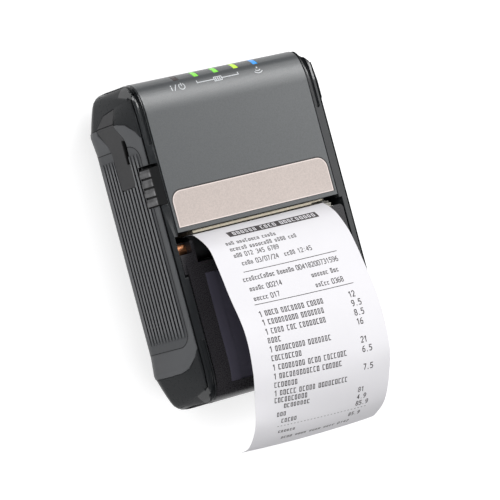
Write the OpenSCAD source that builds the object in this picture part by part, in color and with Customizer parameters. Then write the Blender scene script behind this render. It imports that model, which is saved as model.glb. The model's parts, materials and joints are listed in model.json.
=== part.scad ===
// Pocket thermal receipt printer, lying on its back with the front face up.
// X runs across the width, +Y towards the indicator lights, +Z out of the front face.
// The receipt leaves across the middle of the front and hangs over the -Y end.

/* [Body] */
// Width across the moulded side grips
body_w = 87; // [86:0.5:88]
// Length of the body without the receipt
body_l = 117; // [117:1:118]
// Depth from the back face to the front panel
body_d = 42.5; // [42:0.5:43]
// Wall thickness of the two housing shells
wall = 2; // [1.8:0.1:2.2]
// Height of the seam between rear shell and front frame
split_z = 13; // [12.5:0.1:13]
// Draw-in of the end caps for each millimetre along the body
cap_taper = 0.26; // [0.24:0.01:0.28]

/* [Front panel] */
// Width of the grey panel
panel_w = 69.8; // [69:0.1:70]
// Lower edge of the panel
panel_y0 = 2.75; // [2.7:0.05:2.9]
// Upper end of the panel
panel_y1 = 58.2; // [58:0.1:58.3]
// Width of the bare metal plate
plate_w = 67.4; // [66:0.2:67.6]
// Height of the metal plate along the body
plate_h = 13; // [12:0.1:13.5]
// Corner radius of the metal plate at its upper edge
plate_r = 4; // [2:0.5:5]
// Distance between neighbouring indicator lights
light_pitch = 8.6; // [8:0.1:9]

/* [Side grips] */
// Half length of the raised grip along its side face
grip_half = 45.6; // [44:0.1:46]
// Half length of the raised grip along its front edge
grip_front_half = 38.6; // [38:0.1:39]
// Thickness of the grip skin
grip_t = 1.2; // [1:0.1:1.4]
// Half length of the ribbed rubber insert
insert_half = 36.8; // [36:0.1:37]
// Number of ribs on each insert
rib_count = 12; // [8:1:13]
// Distance between ribs along the grip surface
rib_pitch = 1.75; // [1.6:0.05:1.75]
// Height of a rib
rib_h = 0.5; // [0.3:0.1:0.7]

/* [Paper] */
// Paper width
paper_w = 57.5; // [56:0.5:58]
// Outside diameter of the part-used paper roll
roll_d = 30; // [24:1:30]
// Outside diameter of the cardboard core
core_d = 14; // [13:0.5:16]
// Thickness used for the paper sheet
paper_t = 0.15; // [0.1:0.01:0.2]

/* [Drive] */
// Diameter of the rubber platen roller
platen_d = 8.8; // [8.8:0.1:8.8]
// Gear module
gear_m = 0.5; // [0.5:0.1:0.5]
// Teeth on the platen gear
platen_teeth = 20; // [20:1:20]
// Teeth on the idler gear
idler_teeth = 34; // [34:1:34]
// Teeth on the motor pinion
pinion_teeth = 12; // [12:1:12]

/* [Battery] */
// Width of the battery pack
battery_w = 48; // [44:1:48]
// Length of the battery pack
battery_l = 43; // [40:1:43]
// Depth of the battery pack
battery_d = 15; // [13:0.5:15]

/* [Hidden] */

// Small working clearances
gap = 0.15;
run_fit = 0.05;
thin = 0.02;
reach = 100;

half_w = body_w / 2;
half_l = body_l / 2;

// Cross-section of the body, right half, as arcs with the angles of their normals
back_r = 5;
flank_r = 7;
flank_z = 18;
flank_x = half_w - flank_r;
facet_a = -45;
face_r = 141;
face_a0 = 5;
face_a1 = 14.5;
edge_r = 0.4;
edge_min_r = 0.15;
edge_a = 82;
rail_x = 35.3;
rail_z = body_d - 0.2;
face_cx = flank_x + (flank_r - face_r) * cos(face_a0);
face_cz = flank_z + (flank_r - face_r) * sin(face_a0);
edge_cx = face_cx + (face_r - edge_r) * cos(face_a1);
edge_cz = face_cz + (face_r - edge_r) * sin(face_a1);
facet_d = (flank_x * cos(facet_a) + flank_z * sin(facet_a)) + flank_r;
back_x = (facet_d - back_r - back_r * sin(facet_a)) / cos(facet_a);

// Side outline of both ends: a slow arc that runs into a tight one
slow_r = 20;
tight_r = 7;
slow_a = 65;
heel_r = 6;

// Growth of the cross-section: grip shoulders, end caps and the drawn-in corners
shoulder_y = 37.5;
shoulder_grow = 0.6;
cap_y = 45;
cap_grow = 0.3;
cap_bow = 0.006;
corner_r = 3.4;
corner_y = half_l - corner_r;

// Front rails beside the panel: a groove along the grip, and a slot towards each end
groove_x = 38.6;
groove_depth = 1.5;
slot_x0 = 35.7;
slot_x1 = 37.55;
slot_depth = 0.95;
slot_end_y = 35.2;

// Paper exit recess in the front frame
recess_x = 36.6;
recess_y0 = -12.7;
recess_y1 = 1.5;
recess_z = 30;

// Drive line
platen_r = platen_d / 2;
platen_y = -3.4;
platen_z = 35.6;
shaft_r = 1.5;
gear_x = 30.2;
gear_t = 3;
platen_pitch_r = platen_teeth * gear_m / 2;
idler_pitch_r = idler_teeth * gear_m / 2;
pinion_pitch_r = pinion_teeth * gear_m / 2;
idler_a = -28;
pinion_a = -20;
idler_y = platen_y + (platen_pitch_r + idler_pitch_r) * cos(idler_a);
idler_z = platen_z + (platen_pitch_r + idler_pitch_r) * sin(idler_a);
pinion_y = idler_y + (idler_pitch_r + pinion_pitch_r) * cos(pinion_a);
pinion_z = idler_z + (idler_pitch_r + pinion_pitch_r) * sin(pinion_a);
motor_shaft_r = 1;
motor_r = 8;
motor_x0 = 14;
cheek_x = 29;
cheek_t = 0.9;

// Gear phases: a tooth of one gear faces a gap of the next
idler_phase = idler_a + 180 + 180 / idler_teeth;
idler_step = (pinion_a - idler_phase) * idler_teeth / 360;
pinion_phase = pinion_a + 180 + idler_step * 360 / pinion_teeth + 180 / pinion_teeth;

// Paper roll and the path of the web to the nip
roll_r = roll_d / 2;
roll_y = -30;
roll_z = 19.5;
web_lift = 0.08;
path_roll_r = roll_r + web_lift;
path_platen_r = platen_r + web_lift;
path_dy = platen_y - roll_y;
path_dz = platen_z - roll_z;
path_a = atan2(path_dz, path_dy)
    - acos((path_roll_r - path_platen_r) / sqrt(path_dy * path_dy + path_dz * path_dz));

// Media cover and its hinge
cover_hw = 34.8;
cover_t = 1.8;
cover_z = body_d - 0.2;
cover_y0 = -half_l + 0.3;
cover_y1 = -9;
cover_end_z = 14.6;
skirt_t = 1.6;
skirt_z = 31;
hinge_y = -54.6;
hinge_z = 8.6;
hinge_pin_r = 1.2;
knuckle_r = 3;
knuckle_x = 21;
knuckle_w = 8;
window_x = 28.4;
window_y0 = -52.6;
window_y1 = -13.2;
window_ledge_x = 24.2;
window_step = 0.4;
ear_x0 = 29.7;
ear_x1 = 36.2;
ear_y0 = -12.3;
ear_y1 = -0.9;

// Release lever
lever_y0 = 13.6;
lever_y1 = 28.4;
lever_travel = 1;
lever_in_x = 35.75;
lever_step_x = 39.2;
lever_low_z = 37.5;
lever_root_z = 39.2;

// Port door
door_crease_y = 46;
strap_y1 = 52;
strap_floor_x = 40.4;

// Battery bay
battery_y0 = 5;
battery_z0 = 0.5;
battery_gap = 0.3;
latch_y0 = battery_y0 + battery_l + 0.4;
latch_l = 2.6;
latch_travel = 2.5;

function arc(cx, cy, r, a0, a1, n) =
    [for (i = [0 : n]) let (a = a0 + (a1 - a0) * i / n) [cx + r * cos(a), cy + r * sin(a)]];
function flip(points) = [for (i = [len(points) - 1 : -1 : 0]) [-points[i][0], points[i][1]]];

// Right half of the cross-section, grown outwards by g; when it shrinks, its front edge
// and rail follow it in (follow = 1) or stay where they are (follow = 0)
function edge_in(g) = min(g + edge_r - edge_min_r, 0);
function half_section(g, follow) = concat(
    arc(back_x, back_r, back_r + g, -90, facet_a, 3),
    arc(flank_x, flank_z, flank_r + g, facet_a, face_a0, 6),
    arc(face_cx, face_cz, face_r + g, face_a0 + 1.5, face_a1, 5),
    arc(edge_cx + follow * edge_in(g) * cos(face_a1), edge_cz + follow * edge_in(g) * sin(face_a1),
        edge_r + g - edge_in(g), face_a1 + 20, edge_a, 3),
    [[rail_x, rail_z + follow * min(g, 0)]]);
function section_points(g, follow) = concat(half_section(g, follow), flip(half_section(g, follow)));

// Side outline of one end, from the front face round to the back
function end_outline(y_end, front_z, sides = 5) = let (
    cy = y_end - tight_r,
    sy = cy - (slow_r - tight_r) * cos(slow_a),
    cz = front_z - slow_r + (slow_r - tight_r) * sin(slow_a))
    concat(
        arc(y_end - heel_r, heel_r, heel_r, -90, 0, sides),
        arc(cy, cz, tight_r, 0, slow_a, sides + 2),
        arc(sy, front_z - slow_r, slow_r, slow_a + 5, 90, sides));

// Front and back height of the body at a station along it
function front_at(y, front_z) = let (
    cy = half_l - tight_r,
    sy = cy - (slow_r - tight_r) * cos(slow_a),
    cz = front_z - slow_r + (slow_r - tight_r) * sin(slow_a),
    turn_y = cy + tight_r * cos(slow_a))
    y < sy ? front_z
    : y < turn_y ? front_z - slow_r + sqrt(slow_r * slow_r - (y - sy) * (y - sy))
    : cz + sqrt(max(tight_r * tight_r - (y - cy) * (y - cy), 0));
function back_at(y) = let (cy = half_l - heel_r)
    y < cy ? 0 : heel_r - sqrt(max(heel_r * heel_r - (y - cy) * (y - cy), 0));

// Growth of the end caps at a station: a steady taper, then a rounded corner
function corner_in(y) = y < corner_y ? 0
    : corner_r - sqrt(max(corner_r * corner_r - (y - corner_y) * (y - corner_y), 0));
function cap_at(y) = cap_grow - cap_taper * (y - cap_y) - cap_bow * (y - cap_y) * (y - cap_y)
    - corner_in(y);

module along_y(y0, y1) {
    translate([0, y1, 0]) rotate([90, 0, 0]) linear_extrude(y1 - y0) children();
}

module along_x(x0, x1) {
    translate([x0, 0, 0]) rotate([90, 0, 90]) linear_extrude(x1 - x0) children();
}

module rod_x(x0, x1, r) {
    translate([x0, 0, 0]) rotate([0, 90, 0]) cylinder(h = x1 - x0, r = r, $fn = 48);
}

module block(low, high) {
    translate(low) cube([high[0] - low[0], high[1] - low[1], high[2] - low[2]]);
}

module both_sides() {
    children();
    mirror([1, 0, 0]) children();
}

// Section of the closed body at the station s, drawn between two positions
module body_span(s, y0, y1) {
    along_y(y0, y1) intersection() {
        polygon(section_points(cap_at(s), 0));
        translate([-reach, back_at(s)]) square([2 * reach, front_at(s, body_d) - back_at(s)]);
    }
}

// Outer form of the closed body, rounded into both ends
module body_form() {
    stations = [49, 52, 54.5, 56.2, 57.4, 58.1, half_l];
    hull() {
        body_span(cap_y, -cap_y, cap_y);
        for (s = stations) {
            body_span(s, s - thin, s);
            body_span(s, -s, thin - s);
        }
    }
}

// Straight prism of the cross-section grown by g, between two stations
module section_prism(g, y0, y1) {
    along_y(y0, y1) polygon(section_points(g, 1));
}

// Grip form: straight in the middle, with a shoulder that rises at each end
module grip_form(extra) {
    section_prism(extra, -shoulder_y, shoulder_y);
    for (side = [-1, 1]) hull() {
        along_y(side * shoulder_y - thin / 2, side * shoulder_y + thin / 2)
            polygon(section_points(extra, 0));
        along_y(side * (cap_y - 1) - thin / 2, side * (cap_y - 1) + thin / 2)
            polygon(section_points(extra + shoulder_grow, 0));
        along_y(side * (cap_y + 1) - thin / 2, side * (cap_y + 1) + thin / 2)
            polygon(section_points(extra + shoulder_grow - cap_taper, 0));
    }
}

// Outline of the raised grip in side view, grown by e
function grip_quarter(e) = [
    [grip_front_half - 1.4 + e, body_d + 0.5 + e],
    [grip_front_half + 2.6 + e, edge_cz - 1.3 + e],
    [grip_half - 1.3 + e, 36.4 + e],
    [grip_half - 0.2 + e, 32],
    [grip_half + e, 26]];
function grip_outline(e) = let (q = grip_quarter(e), low = 5)
    concat(
        [[-grip_front_half - e, low - e], [grip_front_half + e, low - e],
            [grip_half - 1.3 + e, low + 5], [grip_half + e, low + 11]],
        [for (i = [4 : -1 : 0]) q[i]],
        [for (i = [0 : 4]) [-q[i][0], q[i][1]]],
        [[-grip_half - e, low + 11], [-grip_half + 1.3 - e, low + 5]]);

// What the left grip skin never reaches: the wall behind it and the front rail
module grip_inside() {
    section_prism(-grip_t, -reach, reach);
    block([-edge_cx, -reach, 36], [reach, reach, reach]);
}

module grip_space(e) {
    difference() {
        along_x(-reach, -30) polygon(grip_outline(e));
        grip_inside();
    }
}

// Door and strap outlines in side view
function door_outline(e) = [
    [door_crease_y, 20.6 - 2 * e], [door_crease_y, 30.2 + e], [40.4, 33.5 + e], [38.6, 34 + e],
    [23.6, 34 + e], [22.6 - e, 33.4], [22.2 - e, 27], [22.8 - e, 26 - e],
    [36.2, 25.6 - e], [39.6, 24.5 - 2.5 * e], [44.2, 21 - 3 * e]];
function strap_outline(e) = [
    [door_crease_y, 20.6 - e], [50 + e, 24.6 - e], [51.2 + e, 31 + e], [door_crease_y, 30.2 + e]];

module port_pocket() {
    difference() {
        along_x(-reach, -36) polygon(door_outline(gap));
        section_prism(door_floor, -reach, reach);
        block([-reach, door_crease_y, 0], [0, reach, reach]);
    }
    difference() {
        along_x(-reach, -strap_floor_x) polygon(strap_outline(gap));
        block([-reach, 0, 0], [0, door_crease_y - 0.05, reach]);
    }
}

module port_tunnel() {
    block([-reach, 24.4, 26.4], [-30, 40.2, 33.6]);
}

module lever_window(e) {
    difference() {
        block([-reach, lever_y0 - e, lever_low_z - e], [-lever_in_x + e, lever_y1 + e, reach]);
        section_prism(-3, -reach, reach);
    }
    block([-edge_cx, lever_y0 - e, lever_root_z], [-lever_in_x + e, lever_y1 + e, reach]);
}

// Cut that follows the side outline of the body at a given depth
module skin_cut(x0, x1, depth) {
    difference() {
        block([x0, -reach, 20], [x1, reach, reach]);
        along_x(x0 - 1, x1 + 1) polygon(concat(
            end_outline(half_l - depth, body_d - depth),
            flip(end_outline(half_l - depth, body_d - depth))));
    }
}

// Rear shell: the tub that holds battery, board and paper bucket
module rear_shell() {
    color("#2c2e30") difference() {
        union() {
            difference() {
                body_form();
                block([-reach, -reach, split_z], [reach, reach, reach]);
                rear_cavity();
            }
            battery_walls();
        }
        battery_bay();
        latch_bay();
        both_sides() hinge_notch();
        translate([0, hinge_y, hinge_z]) both_sides()
            rod_x(knuckle_x - 3.6, knuckle_x + knuckle_w + 3.6, hinge_pin_r);
        both_sides() grip_space(0);
        screw_holes();
    }
}

module rear_cavity() {
    block([-24, -46.9, wall], [24, 54, split_z + 1]);
    both_sides() block([23, -46.9, wall], [28.5, 45.5, split_z + 1]);
    both_sides() block([28, -46.9, 4.2], [29.1, -13, split_z + 1]);
    both_sides() block([28, -46.9, bucket_low_z - 0.2], [31, -13, split_z + 1]);
    both_sides() block([28, -42, 6.5], [33.5, 45.5, split_z + 1]);
    both_sides() block([33, -40, 10], [37.5, 40, split_z + 1]);
}

module battery_walls() {
    difference() {
        block([-battery_w / 2 - 1.8, battery_y0 - 1.8, 0.6],
            [battery_w / 2 + 1.8, battery_y0 + battery_l + 1.8, split_z - 0.5]);
        block([-battery_w / 2 - 0.3, battery_y0 - 0.3, -1],
            [battery_w / 2 + 0.3, battery_y0 + battery_l + 0.3, split_z + 1]);
    }
}

module battery_bay() {
    block([-battery_w / 2 - battery_gap, battery_y0 - battery_gap, -1],
        [battery_w / 2 + battery_gap, battery_y0 + battery_l + battery_gap, split_z + 1]);
}

module latch_bay() {
    block([-8.2, battery_y0 + battery_l + 0.2, -1], [8.2, latch_y0 + latch_l + latch_travel + 0.3, 2.4]);
}

module hinge_notch() {
    block([knuckle_x - 0.3, -reach, 3.2], [knuckle_x + knuckle_w + 0.3, hinge_y + 3.6, split_z + 1]);
}

// Case screws: position and the height of the seat under each head
screw_spots = [[27.5, 50, 5], [14, -49, 5]];
screw_r = 1.1;
screw_head_r = 2.2;
screw_head_h = 2;
screw_reach = 10;
boss_r = 3;

module screw_holes() {
    for (p = screw_spots) both_sides() {
        translate([p[0], p[1], -1]) cylinder(h = p[2] + screw_reach + 1.5, r = screw_r + run_fit, $fn = 32);
        translate([p[0], p[1], -1]) cylinder(h = p[2] + 1, r = screw_head_r + 0.2, $fn = 32);
    }
}

module screw_bosses() {
    p = screw_spots[0];
    both_sides() {
        translate([p[0], p[1], split_z]) cylinder(h = 9, r = boss_r, $fn = 32);
        block([p[0] - 1, p[1], split_z], [p[0] + 1, 56, split_z + 9]);
    }
}

// Front frame: rails, end caps and the walls round the panel and the cover
module front_frame() {
    color("#3c3f42") difference() {
        union() {
            difference() {
                body_form();
                block([-reach, -reach, -1], [reach, reach, split_z]);
                frame_cavity();
            }
            screw_bosses();
        }
        screw_holes();
        panel_opening();
        cover_opening();
        recess_cut();
        both_sides() skin_cut(groove_x, edge_cx, groove_depth);
        both_sides() slot_cut();
        both_sides() grip_space(0);
        lever_window(0.1);
        port_pocket();
        port_tunnel();
        button_holes();
    }
}

module frame_cavity() {
    block([-38, -50, split_z - 1], [38, 54.5, 34]);
    block([-rail_x - 1.6, -50, split_z - 1], [rail_x + 1.6, 54.5, 39.4]);
}

module panel_opening() {
    block([-rail_x, panel_y0 - 2.4, 30.4], [rail_x, reach, reach]);
}

module cover_opening() {
    block([-rail_x, -reach, split_z - 1], [rail_x, panel_y0 - 1, reach]);
}

module recess_cut() {
    both_sides() along_x(rail_x - 1, recess_x) polygon([
        [recess_y1, recess_z], [recess_y1, 50], [recess_y0 - 5.6, 50],
        [recess_y0, 41.2], [recess_y0, recess_z]]);
}

module slot_cut() {
    end_r = (slot_x1 - slot_x0) / 2;
    difference() {
        skin_cut(slot_x0, slot_x1, slot_depth);
        block([slot_x0 - 1, -slot_end_y - end_r, 0], [slot_x1 + 1, slot_end_y + end_r, reach]);
    }
    for (side = [-1, 1])
        translate([slot_x0 + end_r, side * (slot_end_y + end_r), body_d - slot_depth])
            cylinder(h = 5, r = end_r, $fn = 40);
}

button_x = 13;
button_z = 21.5;
button_r = 3.2;

module button_holes() {
    both_sides() translate([button_x, 50, button_z]) rotate([-90, 0, 0])
        cylinder(h = 12, r = button_r + gap, $fn = 40);
}

// Grey front panel: a shell whose upper end turns down between the rails
module top_panel() {
    color("#6f7375") difference() {
        along_x(-panel_w / 2, panel_w / 2) panel_profile(0);
        along_x(-panel_w / 2 + 1.5, panel_w / 2 - 1.5) panel_profile(1.7);
        block([-reach, -reach, -1], [reach, reach, 30.6]);
        block([-reach, -reach, -1], [reach, 50, 33.6]);
        block([-panel_w / 2 + 1.5, -reach, -1], [panel_w / 2 - 1.5, 14, 39.4]);
        block([-reach, -reach, -1], [reach, panel_y0 + 3, 39.4]);
        plate_pocket();
        for (i = [-2 : 2]) light_slot(i, 0.05);
    }
}

module panel_profile(inset) {
    polygon(concat(end_outline(panel_y1 - inset, body_d - inset),
        [[panel_y0 + inset, body_d - inset], [panel_y0 + inset, 0]]));
}

plate_y0 = panel_y0 + 1.6;
plate_t = 0.5;

module plate_shape(e) {
    linear_extrude(5) union() {
        translate([-plate_w / 2 - e, plate_y0 - e]) square([plate_w + 2 * e, plate_h - plate_r + e]);
        translate([-plate_w / 2 + plate_r, plate_y0])
            square([plate_w - 2 * plate_r, plate_h + e]);
        for (side = [-1, 1]) translate([side * (plate_w / 2 - plate_r), plate_y0 + plate_h - plate_r])
            circle(r = plate_r + e, $fn = 48);
    }
}

module plate_pocket() {
    translate([0, 0, body_d - plate_t]) plate_shape(0.2);
}

module front_plate() {
    color("#cfc0b9") intersection() {
        translate([0, 0, body_d - plate_t]) plate_shape(0);
        block([-reach, -reach, 0], [reach, reach, body_d]);
    }
}

// Indicator lights sit in slots on the rounded upper edge
light_y = 57.1;
light_z = 38;
light_tilt = 32;
light_l = 2.1;
light_h = 3.9;
light_shift = -0.4;

module light_slot(i, e) {
    translate([i * light_pitch + light_shift, light_y, light_z]) rotate([light_tilt, 0, 0])
        translate([-light_l / 2 - e, -4, -light_h / 2 - e])
            cube([light_l + 2 * e, 8, light_h + 2 * e]);
}

module light_pipe(i) {
    intersection() {
        light_slot(i, 0);
        along_x(-reach, reach) panel_profile(0);
        translate([i * light_pitch + light_shift, light_y, light_z]) rotate([light_tilt, 0, 0])
            translate([-5, -3, -5]) cube([10, 8, 10]);
    }
}

module status_light_pipe() {
    color("#5e6265") light_pipe(-2);
}

module battery_light_pipes() {
    color("#63d23a") for (i = [-1 : 1]) light_pipe(i);
}

module wireless_light_pipe() {
    color("#2f8fe0") light_pipe(2);
}

// Raised side grips and their ribbed inserts
insert_t = 0.8;
insert_z0 = 9;
insert_z1 = 39.5;
insert_r = 5;

function insert_outline(e) = concat(
    arc(insert_half - insert_r, insert_z0 + insert_r, insert_r + e, -90, 0, 6),
    arc(insert_half - insert_r, insert_z1 - insert_r, insert_r + e, 0, 90, 6),
    arc(-insert_half + insert_r, insert_z1 - insert_r, insert_r + e, 90, 180, 6),
    arc(-insert_half + insert_r, insert_z0 + insert_r, insert_r + e, 180, 270, 6));

module insert_space(e) {
    difference() {
        along_x(-reach, -30) polygon(insert_outline(e));
        section_prism(-insert_t, -reach, reach);
    }
}

module grip_blank() {
    difference() {
        intersection() {
            grip_form(0);
            along_x(-reach, -30) polygon(grip_outline(0));
        }
        grip_inside();
        insert_space(0);
    }
}

module left_grip() {
    color("#626569") difference() {
        grip_blank();
        port_pocket();
        port_tunnel();
        lever_window(0.1);
    }
}

module right_grip() {
    color("#626569") mirror([1, 0, 0]) grip_blank();
}

module rib(i) {
    a = face_a0 + i * rib_pitch / face_r * 180 / PI;
    along_y(-insert_half + 3.4, insert_half - 3.4)
        translate([-face_cx, face_cz]) rotate(180 - a)
            translate([face_r - 0.1, -rib_pitch / 4])
                square([rib_h + 0.1, rib_pitch / 2]);
}

module insert_blank() {
    intersection() {
        section_prism(0, -insert_half, insert_half);
        insert_space(0);
    }
    intersection() {
        union() for (i = [0 : rib_count - 1]) rib(i);
        along_x(-reach, -30) polygon(insert_outline(-0.8));
        section_prism(rib_h, -reach, reach);
    }
}

module left_grip_insert() {
    color("#43464a") difference() {
        insert_blank();
        port_pocket();
        port_tunnel();
        lever_window(0.1);
    }
}

module right_grip_insert() {
    color("#43464a") mirror([1, 0, 0]) insert_blank();
}

// Rubber port door with its fixed strap
door_grow = 0.3;
door_floor = -1.1;

module door_skin(points) {
    difference() {
        intersection() {
            along_x(-reach, -36) polygon(points);
            section_prism(door_grow, -reach, reach);
        }
        section_prism(door_floor, -reach, reach);
    }
}

// Section of the tapering end cap from the grip shoulder outwards, grown by g
module cap_prism(g) {
    hull() for (y = [door_crease_y, strap_y1]) along_y(y - thin, y + thin)
        polygon(section_points(cap_at(y) + g));
}

module port_door_strap() {
    color("#3a3b3d") intersection() {
        along_x(-reach, -36) polygon(strap_outline(0));
        cap_prism(door_grow);
        block([-reach, door_crease_y + 0.1, 0], [-strap_floor_x - 0.1, reach, reach]);
    }
}

module port_door() {
    color("#464648") difference() {
        door_skin(door_outline(0));
        block([-reach, door_crease_y - 0.1, 0], [0, reach, reach]);
        block([-reach, 30.7, 32.8], [0, 39.3, reach]);
    }
}

// Electronics
board_z = 24.5;
board_t = 1.4;
board_top = board_z + board_t;

module main_board() {
    color("#1f6a4a") difference() {
        block([-34, 13, board_z], [34, 53.5, board_top]);
        block([9, 10, board_z - 1], [35, 30.5, board_z + 3]);
    }
    color("#222222") block([-12, 34, board_top], [2, 46, board_top + 1.4]);
    color("#222222") block([-26, 44, board_top], [-18, 50, board_top + 1.2]);
}

module wireless_module() {
    color("#b8bcc0") block([10, 36, board_top], [26, 50, board_top + 2.4]);
}

usb_y = 28.6;
jack_y = 36.4;
port_x = -39.4;

module usb_socket() {
    color("#c8cacc") difference() {
        block([port_x, usb_y - 3.9, board_top + 0.8], [-32, usb_y + 3.9, board_top + 3.8]);
        block([port_x - 1, usb_y - 3.4, board_top + 1.2], [-33.5, usb_y + 3.4, board_top + 3.4]);
    }
    color("#c8cacc") block([-33, usb_y - 3, board_top], [-32, usb_y + 3, board_top + 0.8]);
    color("#222222") block([-38.6, usb_y - 2.6, board_top + 2], [-33.5, usb_y + 2.6, board_top + 2.6]);
}

module dc_jack() {
    color("#1c1c1e") difference() {
        union() {
            block([port_x, jack_y - 3.4, board_top + 0.7], [-29, jack_y + 3.4, board_top + 7]);
            block([-33.8, jack_y - 3.4, board_top], [-29, jack_y + 3.4, board_top + 1]);
        }
        translate([0, jack_y, board_top + 3.6]) rod_x(port_x - 1, -31, 2.6);
    }
    color("#d0d0cc") translate([0, jack_y, board_top + 3.6]) rod_x(-38.4, -31, 0.7);
}

// Print mechanism
head_y0 = platen_y + platen_r + 0.35;
head_t = 1.2;
sink_t = 2.6;
sink_y0 = head_y0 + head_t;
spring_y0 = sink_y0 + sink_t;
wall_y0 = spring_y0 + 3.4;
leaf_r = 20;
leaf_t = 0.35;

module chassis() {
    color("#a9adb0") difference() {
        union() {
            block([-cheek_x - cheek_t, wall_y0, 17.6], [cheek_x + cheek_t, wall_y0 + 0.9, 38.6]);
            block([cheek_x, spring_y0 + 0.2, 17.6], [cheek_x + cheek_t, 29, 38.6]);
            block([-cheek_x - cheek_t, spring_y0 + 0.2, 27], [-cheek_x, wall_y0 + 6, 38.6]);
            translate([0, idler_y, idler_z]) rod_x(cheek_x, gear_x + gear_t + 0.4, shaft_r);
        }
        translate([0, pinion_y, pinion_z]) rod_x(cheek_x - 1, gear_x - 0.1, motor_shaft_r + 0.5);
    }
}

module print_head() {
    color("#e8e6df") block([-28.5, head_y0, 25], [28.5, sink_y0, 37.8]);
}

module head_heatsink() {
    color("#b9bcbf") difference() {
        block([-28.5, sink_y0, 20], [28.5, spring_y0, 38.8]);
        for (i = [-4 : 4]) translate([i * 6 - 1, spring_y0 - 1.4, 21]) cube([2, 2, 7]);
    }
}

module head_springs() {
    color("#c9ccce") for (side = [-1, 1]) translate([side * 14, spring_y0 + 0.05, 27])
        linear_extrude(6) intersection() {
            difference() {
                translate([0, leaf_r]) circle(r = leaf_r, $fn = 96);
                translate([0, leaf_r]) circle(r = leaf_r - leaf_t, $fn = 96);
            }
            translate([-leaf_r, 0]) square([2 * leaf_r, wall_y0 - spring_y0 - 0.1]);
        }
}

tear_x0 = -28.6;
tear_x1 = 23.2;
tear_edge_x1 = 28.2;

module tear_bar() {
    color("#b3a894") {
        along_x(tear_x0, tear_x1) polygon([
            [1.5, 38.8], [4.6, 38.8], [4.6, 39.25], [2.4, 39.25], [2.4, 41.7], [1.5, 41.9],
            [1.35, 41.5], [1.5, 40.9]]);
        along_x(tear_x1 - 1, tear_edge_x1) polygon([
            [1.9, 38.8], [4.6, 38.8], [4.6, 39.25], [2.4, 39.25], [2.4, 41.7], [1.9, 41.8]]);
    }
}

module stepper_motor() {
    color("#8d9194") translate([0, pinion_y, pinion_z]) difference() {
        rod_x(motor_x0, cheek_x, motor_r);
        rod_x(cheek_x - 8, cheek_x + 1, motor_shaft_r + run_fit);
    }
}

// Trough that the paper roll drops into
bucket_r = roll_r + 0.5;
bucket_t = 1.2;
bucket_low_z = 5.4;

module paper_bucket() {
    color("#1d1e20") difference() {
        union() {
            translate([0, roll_y, roll_z]) rod_x(-30.6, 30.6, bucket_r + bucket_t);
            both_sides() block([10, -52, split_z], [18, -45.2, split_z + 2]);
        }
        screw_holes();
        translate([0, roll_y, roll_z]) rod_x(-29.4, 29.4, bucket_r);
        both_sides() block([28.3, -reach, -1], [reach, reach, bucket_low_z]);
        translate([0, roll_y, roll_z]) rod_x(-reach, reach, 9);
        block([-reach, -reach, roll_z + 1], [reach, reach, reach]);
        along_x(-29.4, 29.4)
            polygon([[roll_y, roll_z], [roll_y + 30, roll_z - 28], [roll_y + 30, roll_z + 9]]);
    }
}

module paper_sensor() {
    color("#202124") difference() {
        block([-4, -12.6, 3], [4, -8.6, 9]);
        block([-1.5, -13, 8], [1.5, -8, 10]);
    }
}

module battery_contacts() {
    color("#d9b45a") for (i = [-1.5 : 1 : 1.5])
        block([i * 4 - 0.8, battery_y0 + battery_l - 7, battery_z0 + battery_d + 0.1],
            [i * 4 + 0.8, battery_y0 + battery_l - 3, board_z]);
}

module hinge_pins() {
    color("#c3c6c8") translate([0, hinge_y, hinge_z]) both_sides()
        rod_x(knuckle_x - 3.6, knuckle_x + knuckle_w + 3.6, hinge_pin_r);
}

module case_screws() {
    color("#2a2a2c") for (p = screw_spots) both_sides() translate([p[0], p[1], p[2]]) difference() {
        union() {
            translate([0, 0, -screw_head_h - 0.1]) cylinder(h = screw_head_h, r = screw_head_r, $fn = 32);
            translate([0, 0, -0.5]) cylinder(h = screw_reach, r = screw_r, $fn = 32);
        }
        translate([0, 0, -screw_head_h - 1]) cylinder(h = 2.2, r = 1.1, $fn = 6);
    }
}

// Paper from the roll to the nip, and the printed strip outside
function web_line(lift) = concat(
    arc(roll_y, roll_z, path_roll_r + lift, path_a - 6, path_a, 1),
    arc(platen_y, platen_z, path_platen_r + lift, path_a, 0, 5));

module paper_web() {
    color("#f4f2f4") along_x(-paper_w / 2, paper_w / 2) polygon(concat(
        web_line(0), [for (i = [len(web_line(0)) - 1 : -1 : 0]) web_line(paper_t)[i]]));
}

// Receipt: it stands up out of the slot, bows over and drops away
exit_y = platen_y + platen_r + web_lift;
receipt_points = [[0, 0], [0, 3.6], [-0.35, 5.9], [-0.8, 7.7], [-2.4, 10.7], [-5.6, 13.6], [-10, 15.9], [-17, 18.4],
    [-26, 21.2], [-37, 23.4], [-46, 23.8], [-55, 22.2], [-63, 18.6], [-71, 13.2],
    [-76, 8], [-79.1, 2.4], [-80.5, -3.4]];
function receipt_line(lift) = let (n = len(receipt_points) - 1)
    [for (i = [0 : n]) let (
        a = receipt_points[max(i - 1, 0)],
        b = receipt_points[min(i + 1, n)],
        p = receipt_points[i],
        d = norm(b - a))
        [exit_y + p[0] + lift * (b[1] - a[1]) / d, platen_z + p[1] - lift * (b[0] - a[0]) / d]];

module receipt() {
    color("#f7f5f7") along_x(-paper_w / 2, paper_w / 2) polygon(concat(
        receipt_line(0), [for (i = [len(receipt_points) - 1 : -1 : 0]) receipt_line(paper_t)[i]]));
}

// Media cover with its ears, knuckles and tinted window
module cover_profile(inset) {
    polygon(concat(
        flip([for (p = end_outline(-cover_y0 - inset, cover_z - inset)) if (p[1] > 10) p]),
        [[cover_y0 + inset, 0], [cover_y1 - inset, 0], [cover_y1 - inset, cover_z - inset]]));
}

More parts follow.
